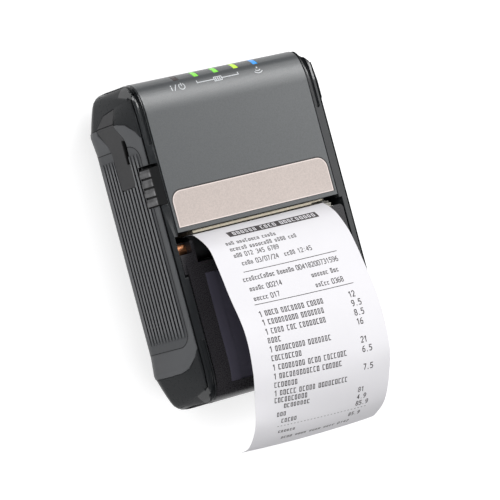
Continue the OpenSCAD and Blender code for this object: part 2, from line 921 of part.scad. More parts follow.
module media_cover() {
    color("#232326") difference() {
        union() {
            difference() {
                along_x(-cover_hw, cover_hw) cover_profile(0);
                along_x(-cover_hw + skirt_t, cover_hw - skirt_t) cover_profile(cover_t);
                block([-reach, -reach, -1], [reach, reach, cover_end_z]);
                block([-reach, -50, -1], [reach, reach, skirt_z]);
            }
            both_sides() ear();
            both_sides() knuckle();
        }
        window_opening();
        bush_notch();
        platen_clearance();
        translate([0, hinge_y, hinge_z]) both_sides()
            rod_x(knuckle_x - 1, knuckle_x + knuckle_w + 1, hinge_pin_r + run_fit);
    }
}

module ear() {
    block([ear_x0, ear_y0, skirt_z], [cover_hw, ear_y1, 41.9]);
    difference() {
        block([ear_x0, ear_y0, 40.9], [ear_x1, ear_y1, 41.9]);
        translate([ear_x1 - 1.5, ear_y1 - 1.5, 40]) difference() {
            cube([3, 3, 4]);
            cylinder(h = 4, r = 1.5, $fn = 32);
        }
    }
}

module knuckle() {
    along_x(knuckle_x, knuckle_x + knuckle_w) union() {
        translate([hinge_y, hinge_z]) circle(r = knuckle_r, $fn = 48);
        polygon([[cover_y0, cover_end_z + 2], [cover_y0 + cover_t, cover_end_z + 2],
            [hinge_y + 1.6, hinge_z + 2.4], [hinge_y - 2.9, hinge_z - 0.6], [cover_y0, hinge_z + 1]]);
    }
}

// Open corner of the left ear over the brass bush
module bush_notch() {
    block([-reach, -5.2, 37.6], [-31, 0, 50]);
}

module window_opening() {
    block([-window_x, window_y0, 38], [window_x, window_y1, 50]);
}

module platen_clearance() {
    translate([0, platen_y, platen_z]) rod_x(-30, 30, platen_r + 0.4);
    translate([0, platen_y, platen_z]) rod_x(-34.9, -29.9, 3);
    translate([0, platen_y, platen_z]) rod_x(33.5, 34.9, 3);
    translate([0, platen_y, platen_z]) rod_x(29, 33.5, platen_pitch_r + 1);
    translate([0, platen_y, platen_z]) rod_x(-reach, reach, shaft_r + 0.4);
    block([29, platen_y, skirt_z - 1], [33.5, 5, platen_z + 4]);
}

module cover_window() {
    color([0.3, 0.29, 0.36, 0.8]) difference() {
        intersection() {
            along_x(-window_x, window_x) cover_profile(0);
            block([-reach, window_y0, 30], [reach, window_y1, 50]);
        }
        along_x(-reach, reach) cover_profile(cover_t);
        difference() {
            along_x(-window_ledge_x, window_ledge_x) cover_profile(-2);
            along_x(-reach, reach) cover_profile(window_step);
        }
    }
}

module platen_bushes() {
    color("#c98a55") translate([0, platen_y, platen_z]) {
        difference() {
            rod_x(-34.7, -30.1, 2.95);
            rod_x(-reach, reach, shaft_r + run_fit);
        }
        difference() {
            rod_x(33.6, 34.7, 2.95);
            rod_x(-reach, reach, shaft_r + run_fit);
        }
    }
}

module platen_shaft() {
    color("#c3c6c8") translate([0, platen_y, platen_z]) rod_x(-36.1, 35.6, shaft_r);
}

module platen_roller() {
    color("#1f2022") translate([0, platen_y, platen_z]) difference() {
        rod_x(-29, 29, platen_r);
        rod_x(-30, 30, shaft_r);
    }
}

// Spur gear with straight-flanked teeth, its first tooth at the given angle
function tooth(r, pitch, a) = [
    [r - 0.62, a - pitch * 0.24], [r + 0.4, a - pitch * 0.1],
    [r + 0.4, a + pitch * 0.1], [r - 0.62, a + pitch * 0.24]];
function polar(p) = [p[0] * cos(p[1]), p[0] * sin(p[1])];

module spur(teeth, phase, bore) {
    pitch = 360 / teeth;
    r = teeth * gear_m / 2;
    along_x(gear_x, gear_x + gear_t) difference() {
        polygon([for (i = [0 : teeth - 1]) for (p = tooth(r, pitch, phase + i * pitch)) polar(p)]);
        circle(r = bore, $fn = 48);
    }
}

module platen_gear() {
    color("#d8d5cc") translate([0, platen_y, platen_z]) spur(platen_teeth, idler_a, shaft_r + 0.01);
}

module idler_gear() {
    color("#e4e2da") translate([0, idler_y, idler_z]) spur(idler_teeth, idler_phase, shaft_r + run_fit);
}

module motor_pinion() {
    color("#c7a45a") translate([0, pinion_y, pinion_z]) {
        spur(pinion_teeth, pinion_phase, motor_shaft_r);
        rod_x(cheek_x - 6, gear_x + gear_t, motor_shaft_r);
    }
}

module paper_roll() {
    color("#f1eff1") translate([0, roll_y, roll_z]) difference() {
        rod_x(-paper_w / 2, paper_w / 2, roll_r);
        rod_x(-reach, reach, core_d / 2);
    }
}

module roll_core() {
    color("#a98d66") translate([0, roll_y, roll_z]) difference() {
        rod_x(-paper_w / 2, paper_w / 2, core_d / 2);
        rod_x(-reach, reach, core_d / 2 - 1.2);
    }
}

// Cover release: a ribbed thumb piece with a smooth plate on the rail
lever_ribs = 4;
lever_len = lever_y1 - lever_y0 - lever_travel - 0.1;
lever_pitch = lever_len / lever_ribs;

module release_lever() {
    color("#35373a") intersection() {
        union() {
            lever_skin(0.1, 0, lever_len, lever_in_x);
            for (i = [0 : lever_ribs - 1]) {
                lever_skin(0.55, i * lever_pitch + 0.3, i * lever_pitch + lever_pitch - 0.5, lever_step_x);
                lever_skin(0.95, i * lever_pitch + 0.3, i * lever_pitch + 0.55 * lever_pitch, lever_step_x);
            }
        }
        block([-reach, lever_y0, lever_low_z], [-lever_in_x, lever_y1, 42.3]);
    }
}

module lever_skin(g, a, b, x_in) {
    y0 = lever_y0 + 0.1;
    intersection() {
        difference() {
            section_prism(g, y0 + a, y0 + b);
            section_prism(-2.6, -reach, reach);
        }
        block([-reach, -reach, 0], [-x_in, reach, reach]);
    }
}

// Hook plate under the rail that the lever carries
module latch_hook() {
    color("#b5b8ba") along_x(-36.6, -35.8) polygon([
        [lever_y0 + 1, 39.3], [lever_y0 + 8, 39.3], [lever_y0 + 8, 36.2], [lever_y0 + 1, 35],
        [6, 33.4], [3, 33.4], [0.4, 36.6], [-1.5, 37], [-1.5, 38.9], [2.2, 38.9], [5.4, 37.2],
        [lever_y0 + 1, 37.2]]);
}

module button_piece(x) {
    translate([x, 0, button_z]) rotate([-90, 0, 0]) {
        translate([0, 0, 55.6]) cylinder(h = half_l - 55.6 - 0.5, r = button_r, $fn = 40);
        translate([0, 0, 53.9]) cylinder(h = 1.8, r = 1.2, $fn = 32);
    }
}

module power_button() {
    color("#2d2f31") button_piece(-button_x);
}

module feed_button() {
    color("#2d2f31") button_piece(button_x);
}

module battery_pack() {
    color("#2b2c2e") difference() {
        block([-battery_w / 2, battery_y0, battery_z0],
            [battery_w / 2, battery_y0 + battery_l, battery_z0 + battery_d]);
        for (i = [-2 : 2]) block([i * 4 - 1, battery_y0 + 4, battery_z0 - 1],
            [i * 4 + 1, battery_y0 + 14, battery_z0 + 0.5]);
    }
}

module battery_latch() {
    color("#2a2b2d") difference() {
        block([-7.8, latch_y0, battery_z0], [7.8, latch_y0 + latch_l, 2.2]);
        for (i = [-1 : 1])
            block([i * 3 - 0.6, latch_y0 + 0.4, 0], [i * 3 + 0.6, latch_y0 + latch_l - 0.4, 0.9]);
    }
}

rear_shell();
front_frame();
top_panel();
front_plate();
status_light_pipe();
battery_light_pipes();
wireless_light_pipe();
left_grip();
right_grip();
left_grip_insert();
right_grip_insert();
port_door_strap();
main_board();
wireless_module();
usb_socket();
dc_jack();
chassis();
print_head();
head_heatsink();
head_springs();
tear_bar();
stepper_motor();
paper_bucket();
paper_sensor();
battery_contacts();
hinge_pins();
case_screws();
paper_web();
media_cover();
cover_window();
platen_bushes();
receipt();
platen_shaft();
platen_roller();
platen_gear();
idler_gear();
motor_pinion();
paper_roll();
roll_core();
release_lever();
latch_hook();
port_door();
power_button();
feed_button();
battery_pack();
battery_latch();
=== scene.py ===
import json
import math
import random
from collections import namedtuple

import bmesh
import bpy
from mathutils import Matrix, Vector


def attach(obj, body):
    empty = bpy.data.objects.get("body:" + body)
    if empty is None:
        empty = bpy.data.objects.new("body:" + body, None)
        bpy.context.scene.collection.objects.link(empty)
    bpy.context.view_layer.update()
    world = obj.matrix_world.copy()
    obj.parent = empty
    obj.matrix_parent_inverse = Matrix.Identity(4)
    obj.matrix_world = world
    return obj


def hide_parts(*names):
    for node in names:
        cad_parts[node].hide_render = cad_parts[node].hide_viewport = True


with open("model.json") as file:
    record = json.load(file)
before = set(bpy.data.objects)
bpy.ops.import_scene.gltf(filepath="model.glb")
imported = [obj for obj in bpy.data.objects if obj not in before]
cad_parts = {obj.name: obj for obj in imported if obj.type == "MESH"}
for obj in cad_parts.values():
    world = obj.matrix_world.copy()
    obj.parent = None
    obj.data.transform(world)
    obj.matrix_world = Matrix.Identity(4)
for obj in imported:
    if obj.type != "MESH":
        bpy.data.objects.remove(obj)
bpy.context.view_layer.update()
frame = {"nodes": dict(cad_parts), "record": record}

MM = 0.001
nodes = frame["nodes"]
slot_of = {s["node"]: s["material_slot"] for s in frame["record"]["subparts"]}

# Camera, fitted to the photograph
CAMERA_PLACE = Vector((-0.5587, -0.0310, 0.91295))
CAMERA_BACK = Vector((-0.5346, -0.0211, 0.8448))
CAMERA_RIGHT = Vector((0.8193, -0.2579, 0.5121))
CAMERA_LENS = 208.06
SENSOR_WIDTH = 36.0


def make_camera():
    data = bpy.data.cameras.new("camera")
    data.sensor_width = SENSOR_WIDTH
    data.lens = CAMERA_LENS
    data.clip_start = 0.05
    data.clip_end = 20.0
    back = CAMERA_BACK.normalized()
    up = back.cross(CAMERA_RIGHT.normalized()).normalized()
    right = up.cross(back).normalized()
    turn = Matrix((right, up, back)).transposed().to_4x4()
    cam = bpy.data.objects.new("camera", data)
    cam.matrix_world = Matrix.Translation(CAMERA_PLACE) @ turn
    bpy.context.scene.collection.objects.link(cam)
    bpy.context.scene.camera = cam


make_camera()

# Sizes of the solids that the finishes follow, in millimetres and degrees
FRONT_Z = 42.5
PANEL_Y1 = 58.2
SLOW_R = 20.0
TIGHT_R = 7.0
SLOW_ANGLE = 65

# The side's section: a flank arc that runs into a long arc up the face
FLANK_X, FLANK_Z, FLANK_R = 36.5, 18.0, 7.0
FACE_R = 141.0
FACE_START = math.radians(5)
FACE_CX = FLANK_X + (FLANK_R - FACE_R) * math.cos(FACE_START)
FACE_CZ = FLANK_Z + (FLANK_R - FACE_R) * math.sin(FACE_START)

# The groove beside the rails, and the height below which the frame is as dull as its end caps
GROOVE_X = 38.9
RAIL_LOW_Z = 33.0

# Outline of the ribbed inserts with its line of painted shade, and the field of ribs in it
INSERT_HALF = 36.8
INSERT_Z0, INSERT_Z1 = 9.0, 39.5
INSERT_R = 5.0
INSERT_SHADE_LINE = (INSERT_R - 0.38, INSERT_R - 0.22)
RIBS_Z0, RIBS_Z1 = 18.2, 38.2
RIBS_END_FADE = (29.0, 33.5)

# Heights over the side between which a finish turns from the painted shade between ribs to a rib
RIB_FADE = (0.22, 0.50)
LEVER_RIB_FADE = (0.18, 0.40)

# Outline of the metal plate, square at its lower end, with the painted shade of its groove and the painted
# highlight of its rim as distances from it
PLATE_HALF = 33.7
PLATE_Y0, PLATE_Y1 = 4.35, 17.35
PLATE_R = 4.0
PLATE_SHADE_IN, PLATE_SHADE_OUT = -0.5, 0.48
RIM_HIGHLIGHT_FADE = (-0.45, -0.25)

# The lever's ribs stand outside this line; below these heights they are painted black as shade, turning grey
# between them
LEVER_STEP_X = 39.1
LEVER_SHADE_TO_GREY = (37.6, 38.0)

# Divides the third battery light from the other two
LAST_LIGHT_X = 4.0

# Finger slot of the port door, painted black as shade since it is not cut: both ends, height and half its
# width
SLOT_Y0, SLOT_Y1 = 30.7, 39.6
SLOT_Z = 33.0
SLOT_HALF = 0.68
SLOT_SHADE_BLACK = (0.003, 0.003, 0.003)


# Shader building blocks
MAT = {}


def new_material(name):
    """A material with one shader, which MAT keeps under its name."""
    m = bpy.data.materials.new(name)
    MAT[name] = m
    m.use_nodes = True
    tree = m.node_tree
    tree.nodes.clear()
    out = tree.nodes.new("ShaderNodeOutputMaterial")
    bsdf = tree.nodes.new("ShaderNodeBsdfPrincipled")
    tree.links.new(bsdf.outputs[0], out.inputs[0])
    return tree, bsdf


def node_of(tree, kind):
    return next(n for n in tree.nodes if n.type == kind)


def feed(tree, socket, value):
    """Links an output to the socket, or sets it to a number or colour."""
    if isinstance(value, (int, float)):
        socket.default_value = value
    elif isinstance(value, tuple):
        socket.default_value = value + (1,)
    else:
        tree.links.new(value, socket)


def math_node(tree, op, a, b=None):
    n = tree.nodes.new("ShaderNodeMath")
    n.operation = op
    feed(tree, n.inputs[0], a)
    if b is not None:
        feed(tree, n.inputs[1], b)
    return n.outputs[0]


def add(tree, a, b):
    return math_node(tree, "ADD", a, b)


def subtract(tree, a, b):
    return math_node(tree, "SUBTRACT", a, b)


def times(tree, a, b):
    return math_node(tree, "MULTIPLY", a, b)


def larger(tree, a, b):
    return math_node(tree, "MAXIMUM", a, b)


def absolute(tree, a):
    return math_node(tree, "ABSOLUTE", a)


def inverted(tree, a):
    """One minus the value."""
    return subtract(tree, 1.0, a)


def length_2d(tree, a, b):
    return math_node(tree, "SQRT", add(tree, times(tree, a, a), times(tree, b, b)))


def fade(tree, src, start, end):
    """Zero up to start, one from end on, both in millimetres."""
    out = times(tree, subtract(tree, src, start * MM), 1 / ((end - start) * MM))
    out.node.use_clamp = True
    return out


def mix_color(tree, fac, a, b, blend="MIX"):
    n = tree.nodes.new("ShaderNodeMix")
    n.data_type = "RGBA"
    n.blend_type = blend
    feed(tree, n.inputs["Factor"], fac)
    feed(tree, n.inputs["A"], a)
    feed(tree, n.inputs["B"], b)
    return n.outputs["Result"]


def scaled(color, factor):
    return tuple(min(1.0, c * factor) for c in color)


def ramp(tree, src, low, high, start=0.3, end=0.7):
    """From one colour or grey to another, as src goes from start to end."""
    r = tree.nodes.new("ShaderNodeValToRGB")
    for element, place, tone in zip(r.color_ramp.elements, (start, end), (low, high)):
        element.position = place
        element.color = (tone if isinstance(tone, tuple) else (tone,) * 3) + (1,)
    tree.links.new(src, r.inputs[0])
    return r.outputs[0]


def object_xyz(tree):
    """The object coordinates as three separate outputs."""
    coord = tree.nodes.new("ShaderNodeTexCoord")
    xyz = tree.nodes.new("ShaderNodeSeparateXYZ")
    tree.links.new(coord.outputs["Object"], xyz.inputs[0])
    return xyz.outputs


def noise(tree, scale, detail=3.0, rough=0.6, stretch=(1, 1, 1)):
    """Noise over the object coordinates; a larger stretch makes it finer along that axis."""
    coord = tree.nodes.new("ShaderNodeTexCoord")
    n = tree.nodes.new("ShaderNodeTexNoise")
    n.inputs["Scale"].default_value = scale
    n.inputs["Detail"].default_value = detail
    n.inputs["Roughness"].default_value = rough
    vector = coord.outputs["Object"]
    if stretch != (1, 1, 1):
        mapping = tree.nodes.new("ShaderNodeMapping")
        mapping.inputs["Scale"].default_value = stretch
        tree.links.new(vector, mapping.inputs[0])
        vector = mapping.outputs[0]
    tree.links.new(vector, n.inputs["Vector"])
    return n.outputs[0]


def bump(tree, bsdf, src, depth, strength):
    """Bump with its depth in millimetres."""
    b = tree.nodes.new("ShaderNodeBump")
    b.inputs["Distance"].default_value = depth * MM
    b.inputs["Strength"].default_value = strength
    tree.links.new(src, b.inputs["Height"])
    tree.links.new(b.outputs[0], bsdf.inputs["Normal"])


# Marks: 1 where a thing is, 0 elsewhere. Several of them are painted shade and a painted highlight
def off_the_rails(tree):
    """The end caps and sides, outside the grooves."""
    return math_node(tree, "GREATER_THAN", absolute(tree, object_xyz(tree)[0]), GROOVE_X * MM)


# Painted shade: the finger slot is drawn black on the door
def finger_slot_shade(tree):
    x, y, z = object_xyz(tree)
    past_top = subtract(tree, y, (SLOT_Y1 - SLOT_HALF) * MM)
    past_low = subtract(tree, (SLOT_Y0 + SLOT_HALF) * MM, y)
    beyond = larger(tree, larger(tree, past_top, past_low), 0.0)
    far = length_2d(tree, beyond, subtract(tree, z, SLOT_Z * MM))
    return inverted(tree, fade(tree, far, SLOT_HALF - 0.1, SLOT_HALF + 0.05))


def height_on_side(tree):
    """Height over the long arc of the side faces, in metres."""
    x, y, z = object_xyz(tree)
    across = subtract(tree, absolute(tree, x), FACE_CX * MM)
    radius = length_2d(tree, across, subtract(tree, z, FACE_CZ * MM))
    return subtract(tree, radius, FACE_R * MM)


def round_corner(tree, a, b):
    """Distance from the inner corner of a rounded outline, out of the distances past its lines."""
    corner = length_2d(tree, larger(tree, a, 0.0), larger(tree, b, 0.0))
    return add(tree, corner, math_node(tree, "MINIMUM", larger(tree, a, b), 0.0))


def insert_gap_shade(tree):
    """Painted shade: a dark line round a ribbed insert, where insert and grip meet."""
    x, y, z = object_xyz(tree)
    half = (INSERT_Z1 - INSERT_Z0) / 2
    past_y = subtract(tree, absolute(tree, y), (INSERT_HALF - INSERT_R) * MM)
    from_mid = absolute(tree, subtract(tree, z, (INSERT_Z0 + half) * MM))
    past_z = subtract(tree, from_mid, (half - INSERT_R) * MM)
    return fade(tree, round_corner(tree, past_y, past_z), *INSERT_SHADE_LINE)


def plate_distance(tree):
    """How far a point lies outside the plate's rounded outline, and how far below its lower end."""
    x, y, z = object_xyz(tree)
    past_x = subtract(tree, absolute(tree, x), (PLATE_HALF - PLATE_R) * MM)
    past_y = subtract(tree, y, (PLATE_Y1 - PLATE_R) * MM)
    outside = subtract(tree, round_corner(tree, past_x, past_y), PLATE_R * MM)
    return outside, subtract(tree, PLATE_Y0 * MM, y)


def plate_groove_shade(tree):
    """Painted shade: the panel is painted dark in the groove that the plate sits in, where shade falls."""
    outside, below = plate_distance(tree)
    before = math_node(tree, "LESS_THAN", outside, PLATE_SHADE_OUT * MM)
    beyond = math_node(tree, "GREATER_THAN", outside, PLATE_SHADE_IN * MM)
    return times(tree, times(tree, before, beyond), math_node(tree, "LESS_THAN", below, 0.0))


def plate_rim_highlight(tree):
    """Painted highlight: the plate's edges are painted bright, where they catch the light."""
    outside, below = plate_distance(tree)
    return fade(tree, larger(tree, outside, below), *RIM_HIGHLIGHT_FADE)


# Kinds of material
def plastic(name, color, rough=0.45, grain=900.0, depth=0.04, strength=0.35, mottle=0.06, spec=0.5,
            shade_and_highlight_mark=None):
    """Moulded plastic or rubber: fine texture in bump and roughness and a faint colour variation. A mark is
    painted black as painted shade."""
    tree, bsdf = new_material(name)
    fine = noise(tree, grain, 4.0, 0.65)
    wide = noise(tree, 45.0, 3.0, 0.55)
    base = ramp(tree, wide, scaled(color, 1 - mottle), scaled(color, 1 + mottle), 0.35, 0.65)
    if shade_and_highlight_mark:
        # Painted shade where the mark is
        base = mix_color(tree, shade_and_highlight_mark(tree), base, SLOT_SHADE_BLACK)
    tree.links.new(base, bsdf.inputs["Base Color"])
    tree.links.new(ramp(tree, fine, rough - 0.06, rough + 0.06), bsdf.inputs["Roughness"])
    bump(tree, bsdf, fine, depth, strength)
    bsdf.inputs["Specular IOR Level"].default_value = spec


def soft_edges(name, rails, caps):
    """Edges that catch the light over these widths in millimetres: on the rails, and off them."""
    tree = MAT[name].node_tree
    edge = tree.nodes.new("ShaderNodeBevel")
    edge.samples = 6
    wider = times(tree, off_the_rails(tree), (caps - rails) * MM)
    tree.links.new(add(tree, wider, rails * MM), edge.inputs["Radius"])
    tree.links.new(edge.outputs[0], node_of(tree, "BUMP").inputs["Normal"])


def smooth_rails(name, polish, cap_spec):
    """Rails that are smoother by polish, and a lower specular level off them and low on the ends."""
    tree = MAT[name].node_tree
    bsdf = node_of(tree, "BSDF_PRINCIPLED")
    rough = bsdf.inputs["Roughness"]
    spec = bsdf.inputs["Specular IOR Level"]
    caps = off_the_rails(tree)
    less = times(tree, inverted(tree, caps), polish)
    tree.links.new(subtract(tree, rough.links[0].from_socket, less), rough)
    low = math_node(tree, "LESS_THAN", object_xyz(tree)[2], RAIL_LOW_Z * MM)
    dull = times(tree, larger(tree, caps, low), spec.default_value - cap_spec)
    tree.links.new(subtract(tree, spec.default_value, dull), spec)


def metal(name, color, rough=0.3, stretch=(1, 60, 60), depth=0.01, strength=0.3, metallic=1.0):
    """Brushed or ground metal: noise stretched along one direction."""
    tree, bsdf = new_material(name)
    brushed = noise(tree, 60.0, 4.0, 0.5, stretch)
    tree.links.new(ramp(tree, brushed, scaled(color, 0.9), scaled(color, 1.08)), bsdf.inputs["Base Color"])
    tree.links.new(ramp(tree, brushed, rough * 0.8, rough * 1.25), bsdf.inputs["Roughness"])
    bump(tree, bsdf, brushed, depth, strength)
    bsdf.inputs["Metallic"].default_value = metallic


def glow(name, color, last=None):
    """Lit indicator. The last one of a row may have a colour of its own."""
    tree, bsdf = new_material(name)
    base = ramp(tree, noise(tree, 700.0), scaled(color, 0.85), color)
    if last:
        right = math_node(tree, "GREATER_THAN", object_xyz(tree)[0], LAST_LIGHT_X * MM)
        base = mix_color(tree, right, base, last)
    tree.links.new(base, bsdf.inputs["Base Color"])
    tree.links.new(base, bsdf.inputs["Emission Color"])
    bsdf.inputs["Emission Strength"].default_value = 0.25
    bsdf.inputs["Roughness"].default_value = 0.25


def ribbed(name, rib, groove_shade, margin):
    """Rubber insert: rib tops painted lighter as lit and grooves painted near black as shade, both fading
    out at their ends and told apart by their height on the side, and a line of painted shade round the
    insert's edge."""
    tree, bsdf = new_material(name)
    x, y, z = object_xyz(tree)
    top = fade(tree, height_on_side(tree), *RIB_FADE)
    above = math_node(tree, "GREATER_THAN", z, RIBS_Z0 * MM)
    below = math_node(tree, "LESS_THAN", z, RIBS_Z1 * MM)
    middle = inverted(tree, fade(tree, absolute(tree, y), *RIBS_END_FADE))
    field = times(tree, times(tree, above, below), middle)
    # Painted shade in the grooves between ribs, fading into the margin at their ends
    low_shade = mix_color(tree, field, margin, groove_shade)
    base = mix_color(tree, top, low_shade, mix_color(tree, middle, margin, rib))
    # Painted shade round the insert's edge
    base = mix_color(tree, insert_gap_shade(tree), base, groove_shade)
    fine = noise(tree, 1500.0, 3.0, 0.6)
    base = mix_color(tree, 1.0, base, ramp(tree, fine, 0.9, 1.0), "MULTIPLY")
    tree.links.new(base, bsdf.inputs["Base Color"])
    dull = times(tree, field, inverted(tree, top))
    tree.links.new(subtract(tree, 0.25, times(tree, dull, 0.23)), bsdf.inputs["Specular IOR Level"])
    bsdf.inputs["Roughness"].default_value = 0.5
    bump(tree, bsdf, fine, 0.03, 0.3)


def lever_finish(name, plate, rib, gap_shade):
    """Release lever: a smooth black plate towards the panel, grey ribs outside it, and the gaps between the
    ribs and the ribs' lower parts painted black as shade.
    """
    tree, bsdf = new_material(name)
    x, y, z = object_xyz(tree)
    outside = math_node(tree, "GREATER_THAN", absolute(tree, x), LEVER_STEP_X * MM)
    grey = ramp(tree, noise(tree, 420.0, 2.0, 0.5), scaled(rib, 0.72), scaled(rib, 1.18), 0.38, 0.62)
    # Below these heights the ribs are painted shade
    upper = fade(tree, z, *LEVER_SHADE_TO_GREY)
    raised = times(tree, fade(tree, height_on_side(tree), *LEVER_RIB_FADE), upper)
    base = mix_color(tree, outside, plate, mix_color(tree, raised, gap_shade, grey))
    fine = noise(tree, 900.0, 4.0, 0.65)
    base = mix_color(tree, 1.0, base, ramp(tree, fine, 0.9, 1.0), "MULTIPLY")
    tree.links.new(base, bsdf.inputs["Base Color"])
    bsdf.inputs["Roughness"].default_value = 0.4
    bsdf.inputs["Specular IOR Level"].default_value = 0.2
    bump(tree, bsdf, fine, 0.04, 0.35)


def grained(name, color, rough, grain, amount, spec, shade_and_highlight_mark, shade_and_highlight_color):
    """Paint or anodised metal with a fine sparkle of small bright and dark grains, and a mark in a colour of
    its own, which stands for painted shade in the panel's groove and for a painted highlight on the plate's
    rim.
    """
    tree, bsdf = new_material(name)
    fine = noise(tree, grain, 2.0, 0.7)
    base = ramp(tree, fine, scaled(color, 1 - amount), scaled(color, 1 + amount), 0.32, 0.68)
    base = mix_color(tree, 1.0, base, ramp(tree, noise(tree, 30.0, 2.0, 0.5), 0.96, 1.0), "MULTIPLY")
    # The mark's colour is painted shade on the panel and a painted highlight on the plate
    base = mix_color(tree, shade_and_highlight_mark(tree), base, shade_and_highlight_color)
    tree.links.new(base, bsdf.inputs["Base Color"])
    tree.links.new(ramp(tree, fine, rough + 0.05, rough - 0.05), bsdf.inputs["Roughness"])
    bsdf.inputs["Specular IOR Level"].default_value = spec
    bump(tree, bsdf, fine, 0.03, 0.25)


# Housing
plastic("shell_black", (0.018, 0.020, 0.021), rough=0.55, spec=0.3)
soft_edges("shell_black", rails=1.2, caps=1.2)
plastic("frame_black", (0.020, 0.022, 0.024), rough=0.30, grain=700.0, depth=0.03, strength=0.2,
        spec=0.40)
soft_edges("frame_black", rails=0.25, caps=0.8)
smooth_rails("frame_black", polish=0.12, cap_spec=0.12)
# The panel's mark is painted shade in the groove round the plate
grained("panel_grey", (0.070, 0.076, 0.080), rough=0.35, grain=2600.0, amount=0.16, spec=0.72,
        shade_and_highlight_mark=plate_groove_shade, shade_and_highlight_color=(0.006, 0.006, 0.006))
# The plate's mark is a painted highlight along its rim
grained("plate_metal", (0.540, 0.465, 0.430), rough=0.4, grain=2200.0, amount=0.10, spec=0.6,
        shade_and_highlight_mark=plate_rim_highlight, shade_and_highlight_color=(0.80, 0.70, 0.66))
plastic("grip_rubber", (0.112, 0.116, 0.122), rough=0.46, grain=1200.0, spec=0.3)
soft_edges("grip_rubber", rails=0.8, caps=0.8)
# Rib tops painted lighter as lit; grooves and the insert's outline painted near black as shade
ribbed("rib_rubber", rib=(0.235, 0.240, 0.250), groove_shade=(0.003, 0.003, 0.004),
       margin=(0.105, 0.109, 0.115))
# The door's finger slot is painted shade, not a recess
plastic("door_rubber", (0.062, 0.062, 0.064), rough=0.6, spec=0.3, shade_and_highlight_mark=finger_slot_shade)
soft_edges("door_rubber", rails=0.4, caps=0.4)
# The lever's gaps and the lower parts of its ribs are painted shade
lever_finish("lever_grey", plate=(0.004, 0.0045, 0.005), rib=(0.165, 0.165, 0.168),
             gap_shade=(0.004, 0.004, 0.004))
plastic("button_black", (0.018, 0.019, 0.020), rough=0.5, spec=0.3)
plastic("cover_black", (0.021, 0.0195, 0.0225), rough=0.28, grain=2600.0, depth=0.004, strength=0.05,
        spec=0.4)
plastic("window_smoke", (0.064, 0.060, 0.084), rough=0.16, grain=500.0, depth=0.01, strength=0.08,
        spec=0.45)
plastic("battery_black", (0.022, 0.023, 0.025), rough=0.5, spec=0.3)
metal("screw_black", (0.05, 0.05, 0.052), rough=0.4)

# Indicator lights
plastic("light_off", (0.045, 0.030, 0.028), rough=0.3, grain=300.0, depth=0.02, strength=0.2, spec=0.3)
glow("light_green", (0.22, 0.78, 0.05), last=(0.52, 0.80, 0.03))
glow("light_blue", (0.02, 0.33, 0.90))

# Inside
plastic("board_green", (0.02, 0.16, 0.08), rough=0.35)
metal("can_metal", (0.60, 0.60, 0.61), rough=0.3)
plastic("jack_black", (0.008, 0.008, 0.009), rough=0.5, spec=0.3)
metal("chassis_steel", (0.30, 0.30, 0.31), rough=0.38)
plastic("head_ceramic", (0.16, 0.13, 0.10), rough=0.4)
metal("heatsink_alu", (0.30, 0.30, 0.31), rough=0.45)
metal("spring_steel", (0.62, 0.62, 0.64), rough=0.25)
metal("tear_steel", (0.30, 0.27, 0.21), rough=0.5, stretch=(90, 3, 3), depth=0.02, strength=0.5,
      metallic=0.5)
metal("motor_steel", (0.40, 0.42, 0.43), rough=0.4)
plastic("bucket_black", (0.010, 0.010, 0.011), rough=0.4, spec=0.3)
plastic("sensor_black", (0.010, 0.010, 0.012), rough=0.25)
metal("contact_gold", (0.80, 0.56, 0.22), rough=0.25)
metal("pin_steel", (0.62, 0.62, 0.63), rough=0.2)
metal("bush_brass", (0.40, 0.18, 0.09), rough=0.45)
plastic("platen_rubber", (0.012, 0.012, 0.013), rough=0.5, spec=0.3)
plastic("gear_white", (0.70, 0.68, 0.62), rough=0.35)
plastic("core_card", (0.40, 0.28, 0.15), rough=0.8)

# Paper and print
plastic("paper_white", (0.83, 0.82, 0.85), rough=0.7, grain=2500.0, depth=0.01, strength=0.2,
        mottle=0.01, spec=0.3)
plastic("thermal_ink", (0.085, 0.078, 0.080), rough=0.8, grain=1800.0, depth=0.01, strength=0.1,
        mottle=0.15, spec=0.2)
plastic("faint_ink", (0.30, 0.29, 0.29), rough=0.8, grain=1800.0, depth=0.01, strength=0.1, mottle=0.15,
        spec=0.2)
plastic("icon_white", (0.62, 0.64, 0.66), rough=0.5, grain=1200.0, depth=0.01, strength=0.1, mottle=0.05)


# Finish of the carried-over solids
SMOOTH_ANGLE = 28
BEVEL_WIDTH = 0.15
BEVEL_ANGLE = 34
MOULDED_BEVEL_ANGLE = 50
MOULDED = ("front_frame", "rear_shell", "left_grip", "right_grip")


